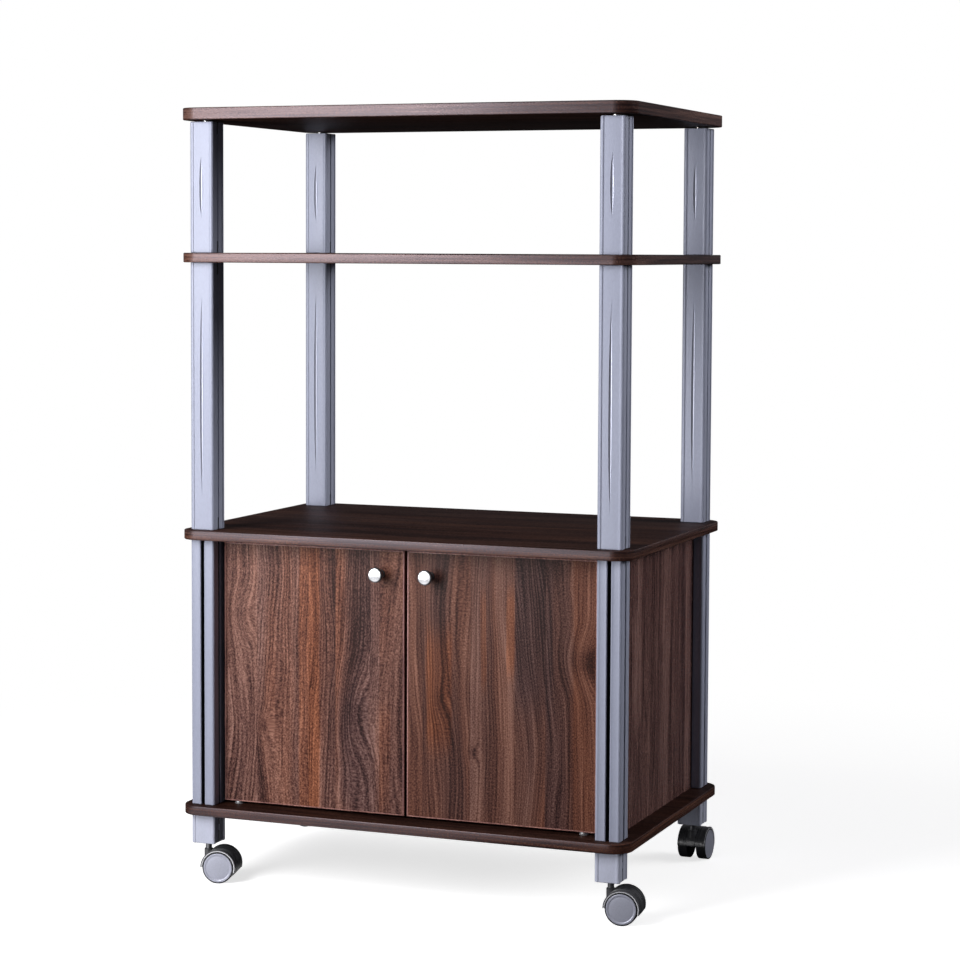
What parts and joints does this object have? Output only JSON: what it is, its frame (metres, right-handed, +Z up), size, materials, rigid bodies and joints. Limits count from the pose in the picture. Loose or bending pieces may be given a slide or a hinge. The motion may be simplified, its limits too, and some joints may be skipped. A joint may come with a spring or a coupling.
{
  "type": "microwave cart",
  "caption": "Rolling kitchen cart with walnut shelves on square silver posts, an open microwave bay and a two-door cabinet on swivel casters.",
  "frame": {"origin": "on the floor, under the middle of the boards", "axes": "+X to the cart's right seen from the front, -Y out of its front, where the doors are, and +Z up"},
  "size_m": [0.622, 0.4054, 0.978],
  "materials": {
    "walnut_laminate": "dark walnut laminate with a satin gloss and a paler edge band",
    "post_silver": "silver-grey satin coat",
    "plug_plastic": "black moulded plastic",
    "zinc_steel": "zinc-plated steel",
    "knob_satin": "satin nickel",
    "white_nylon": "white nylon",
    "hood_plastic": "near-black moulded plastic, pale on the inner lip",
    "wheel_disc": "silver-grey moulded plastic",
    "wheel_plastic": "near-black nylon tread"
  },
  "bodies": {
    "root": {"top_board": "walnut_laminate", "middle_shelf": "walnut_laminate", "cabinet_top_board": "walnut_laminate", "bottom_board": "walnut_laminate", "upper_post_front_left": "post_silver", "upper_post_front_right": "post_silver", "upper_post_back_left": "post_silver", "upper_post_back_right": "post_silver", "middle_post_front_left": "post_silver", "middle_post_front_right": "post_silver", "middle_post_back_left": "post_silver", "middle_post_back_right": "post_silver", "cabinet_post_front_left": "post_silver", "cabinet_post_front_right": "post_silver", "cabinet_post_back_left": "post_silver", "cabinet_post_back_right": "post_silver", "leg_front_left": "post_silver", "leg_front_right": "post_silver", "leg_back_left": "post_silver", "leg_back_right": "post_silver", "side_panel_left": "walnut_laminate", "side_panel_right": "walnut_laminate", "back_panel": "walnut_laminate", "post_end_plugs": "plug_plastic", "leg_plugs": "plug_plastic", "connecting_studs": "zinc_steel", "top_spacers": "knob_satin", "pivot_bushes": "white_nylon", "door_catches": "white_nylon", "caster_stems": "zinc_steel"},
    "left_door": {"door_left": "walnut_laminate", "knob_left": "knob_satin", "knob_screw_left": "zinc_steel", "pivot_pins_left": "zinc_steel", "strike_plate_left": "zinc_steel"},
    "right_door": {"door_right": "walnut_laminate", "knob_right": "knob_satin", "knob_screw_right": "zinc_steel", "pivot_pins_right": "zinc_steel", "strike_plate_right": "zinc_steel"},
    "caster_front_left": {"caster_housing_front_left": "hood_plastic"},
    "wheel_front_left_inner_body": {"wheel_front_left_inner": "wheel_plastic", "wheel_cap_front_left_inner": "wheel_disc"},
    "wheel_front_left_outer_body": {"wheel_front_left_outer": "wheel_plastic", "wheel_cap_front_left_outer": "wheel_disc"},
    "caster_front_right": {"caster_housing_front_right": "hood_plastic"},
    "wheel_front_right_inner_body": {"wheel_front_right_inner": "wheel_plastic", "wheel_cap_front_right_inner": "wheel_disc"},
    "wheel_front_right_outer_body": {"wheel_front_right_outer": "wheel_plastic", "wheel_cap_front_right_outer": "wheel_disc"},
    "caster_back_left": {"caster_housing_back_left": "hood_plastic"},
    "wheel_back_left_inner_body": {"wheel_back_left_inner": "wheel_plastic", "wheel_cap_back_left_inner": "wheel_disc"},
    "wheel_back_left_outer_body": {"wheel_back_left_outer": "wheel_plastic", "wheel_cap_back_left_outer": "wheel_disc"},
    "caster_back_right": {"caster_housing_back_right": "hood_plastic"},
    "wheel_back_right_inner_body": {"wheel_back_right_inner": "wheel_plastic", "wheel_cap_back_right_inner": "wheel_disc"},
    "wheel_back_right_outer_body": {"wheel_back_right_outer": "wheel_plastic", "wheel_cap_back_right_outer": "wheel_disc"}
  },
  "joints": [
    {"name": "door_left_pivot", "type": "hinge", "parent": "root", "child": "left_door", "pos_m": [-0.2315, -0.157, 0.269], "axis": [0, 0, -1], "range_deg": [0, 110]},
    {"name": "door_right_pivot", "type": "hinge", "parent": "root", "child": "right_door", "pos_m": [0.2315, -0.157, 0.269], "axis": [0, 0, 1], "range_deg": [0, 110]},
    {"name": "caster_front_left_swivel", "type": "hinge", "parent": "root", "child": "caster_front_left", "pos_m": [-0.27, -0.1685, 0.041], "axis": [0, 0, 1], "continuous": true},
    {"name": "wheel_front_left_inner_roll", "type": "hinge", "parent": "caster_front_left", "child": "wheel_front_left_inner_body", "pos_m": [-0.25386, -0.16507, 0.02], "axis": [-0.2079, 0.9781, 0], "continuous": true},
    {"name": "wheel_front_left_outer_roll", "type": "hinge", "parent": "caster_front_left", "child": "wheel_front_left_outer_body", "pos_m": [-0.25386, -0.16507, 0.02], "axis": [-0.2079, 0.9781, 0], "continuous": true},
    {"name": "caster_front_right_swivel", "type": "hinge", "parent": "root", "child": "caster_front_right", "pos_m": [0.27, -0.1685, 0.041], "axis": [0, 0, 1], "continuous": true},
    {"name": "wheel_front_right_inner_roll", "type": "hinge", "parent": "caster_front_right", "child": "wheel_front_right_inner_body", "pos_m": [0.28641, -0.16678, 0.02], "axis": [-0.1045, 0.9945, 0], "continuous": true},
    {"name": "wheel_front_right_outer_roll", "type": "hinge", "parent": "caster_front_right", "child": "wheel_front_right_outer_body", "pos_m": [0.28641, -0.16678, 0.02], "axis": [-0.1045, 0.9945, 0], "continuous": true},
    {"name": "caster_back_left_swivel", "type": "hinge", "parent": "root", "child": "caster_back_left", "pos_m": [-0.27, 0.1685, 0.041], "axis": [0, 0, 1], "continuous": true},
    {"name": "wheel_back_left_inner_roll", "type": "hinge", "parent": "caster_back_left", "child": "wheel_back_left_inner_body", "pos_m": [-0.28641, 0.17022, 0.02], "axis": [-0.1045, -0.9945, 0], "continuous": true},
    {"name": "wheel_back_left_outer_roll", "type": "hinge", "parent": "caster_back_left", "child": "wheel_back_left_outer_body", "pos_m": [-0.28641, 0.17022, 0.02], "axis": [-0.1045, -0.9945, 0], "continuous": true},
    {"name": "caster_back_right_swivel", "type": "hinge", "parent": "root", "child": "caster_back_right", "pos_m": [0.27, 0.1685, 0.041], "axis": [0, 0, 1], "continuous": true},
    {"name": "wheel_back_right_inner_roll", "type": "hinge", "parent": "caster_back_right", "child": "wheel_back_right_inner_body", "pos_m": [0.27058, 0.18499, 0.02], "axis": [-0.9994, 0.0349, 0], "continuous": true},
    {"name": "wheel_back_right_outer_roll", "type": "hinge", "parent": "caster_back_right", "child": "wheel_back_right_outer_body", "pos_m": [0.27058, 0.18499, 0.02], "axis": [-0.9994, 0.0349, 0], "continuous": true}
  ]
}
